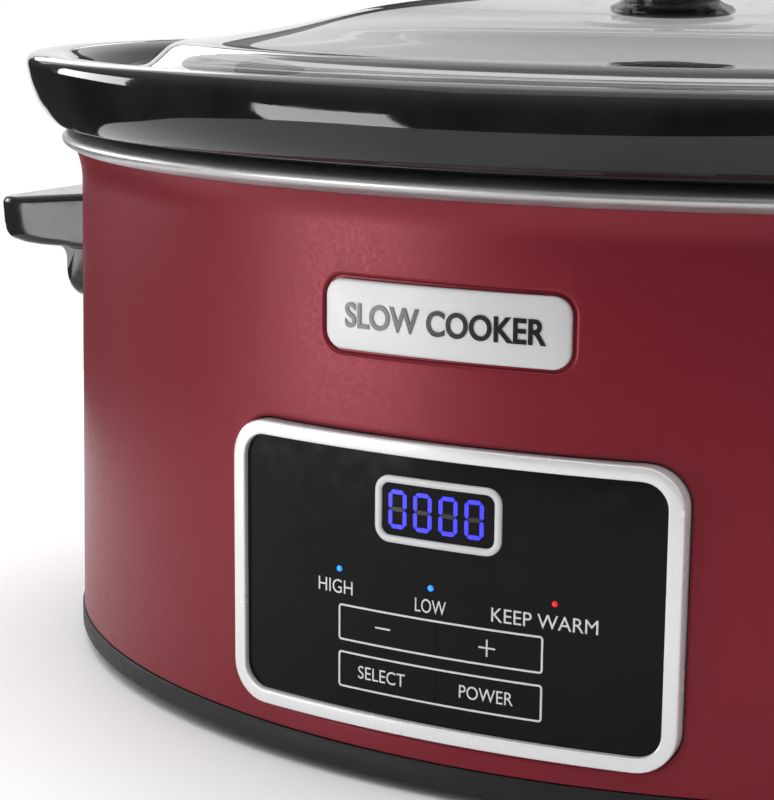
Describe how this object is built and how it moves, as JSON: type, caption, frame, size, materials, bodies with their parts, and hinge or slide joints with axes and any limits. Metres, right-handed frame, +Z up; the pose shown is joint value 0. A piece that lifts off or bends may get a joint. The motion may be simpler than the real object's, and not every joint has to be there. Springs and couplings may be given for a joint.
{
  "type": "slow cooker",
  "caption": "Oval digital slow cooker with a red steel housing, black lift-out crock, glass lid, side handles and a front key panel.",
  "frame": {"origin": "middle of the footprint, on the surface the feet stand on", "axes": "+X along the oval from left handle to right handle, -Y out of the front with the key panel, +Z up"},
  "size_m": [0.418, 0.3118, 0.223],
  "materials": {
    "red_steel": "satin metallic dark red baked enamel on pressed steel",
    "satin_steel": "satin, unpolished",
    "bare_steel": "plain rolled and zinc-plated steel",
    "chrome": "bright chrome plating on plastic",
    "silver_plate": "fine satin, light",
    "black_glaze": "deep gloss black glaze on stoneware",
    "clear_glass": "clear pressed tempered glass",
    "black_gloss": "gloss black",
    "key_caps": "gloss black, flush with the panel, pale printed legends",
    "handle_plastic": "semi-gloss black moulded plastic",
    "knob_plastic": "gloss black phenolic",
    "black_matt": "fine matt black moulded plastic",
    "rubber": "matt black",
    "board_green": "green solder mask on fibreglass",
    "relay_blue": "blue moulded case",
    "copper_tape": "amber insulating tape",
    "white_plastic": "off-white moulded plastic",
    "lamp_blue": "clear blue lamp, lit",
    "lamp_red": "clear red lamp, lit"
  },
  "bodies": {
    "housing_body": {"band_clamp": "bare_steel", "base_screw_front_left": "bare_steel", "base_screw_front_right": "bare_steel", "base_screw_rear_left": "bare_steel", "base_screw_rear_right": "bare_steel", "base_tray": "black_matt", "board_stand_front": "white_plastic", "board_stand_rear": "white_plastic", "clamp_screw": "bare_steel", "control_board": "board_green", "control_fascia": "black_gloss", "cord_gland": "black_matt", "display_frame": "silver_plate", "display_module": "black_gloss", "foot_front_left": "rubber", "foot_front_right": "rubber", "foot_rear_left": "rubber", "foot_rear_right": "rubber", "handle_left": "handle_plastic", "handle_left_screw_front": "bare_steel", "handle_left_screw_rear": "bare_steel", "handle_right": "handle_plastic", "handle_right_screw_front": "bare_steel", "handle_right_screw_rear": "bare_steel", "heating_band": "copper_tape", "high_lamp": "lamp_blue", "housing_rim": "satin_steel", "inner_liner": "bare_steel", "low_lamp": "lamp_blue", "minus_switch": "black_matt", "name_plate": "silver_plate", "outer_housing": "red_steel", "panel_bezel": "chrome", "plus_switch": "black_matt", "post_front_left": "bare_steel", "post_front_right": "bare_steel", "post_rear_left": "bare_steel", "post_rear_right": "bare_steel", "power_board": "board_green", "power_relay": "relay_blue", "power_switch": "black_matt", "select_switch": "black_matt", "smoothing_capacitor": "black_gloss", "temperature_sensor": "bare_steel", "thermal_fuse": "white_plastic", "transformer": "copper_tape", "warm_lamp": "lamp_red"},
    "crock_body": {"crock": "black_glaze"},
    "lid_body": {"glass_lid": "clear_glass", "knob_washer": "rubber", "lid_knob": "knob_plastic", "knob_screw": "bare_steel"},
    "minus_key_body": {"minus_key": "key_caps"},
    "plus_key_body": {"plus_key": "key_caps"},
    "select_key_body": {"select_key": "key_caps"},
    "power_key_body": {"power_key": "key_caps"}
  },
  "joints": [
    {"name": "crock_lift", "type": "slide", "parent": "housing_body", "child": "crock_body", "axis": [0, 0, 1], "range_m": [0, 0.18]},
    {"name": "lid_lift", "type": "slide", "parent": "crock_body", "child": "lid_body", "axis": [0, 0, 1], "range_m": [0, 0.12]},
    {"name": "minus_key_press", "type": "slide", "parent": "housing_body", "child": "minus_key_body", "axis": [0, 1, 0], "range_m": [0, 0.0005], "stiffness_N_per_m": 400},
    {"name": "plus_key_press", "type": "slide", "parent": "housing_body", "child": "plus_key_body", "axis": [0, 1, 0], "range_m": [0, 0.0005], "stiffness_N_per_m": 400},
    {"name": "select_key_press", "type": "slide", "parent": "housing_body", "child": "select_key_body", "axis": [0, 1, 0], "range_m": [0, 0.0005], "stiffness_N_per_m": 400},
    {"name": "power_key_press", "type": "slide", "parent": "housing_body", "child": "power_key_body", "axis": [0, 1, 0], "range_m": [0, 0.0005], "stiffness_N_per_m": 400}
  ]
}
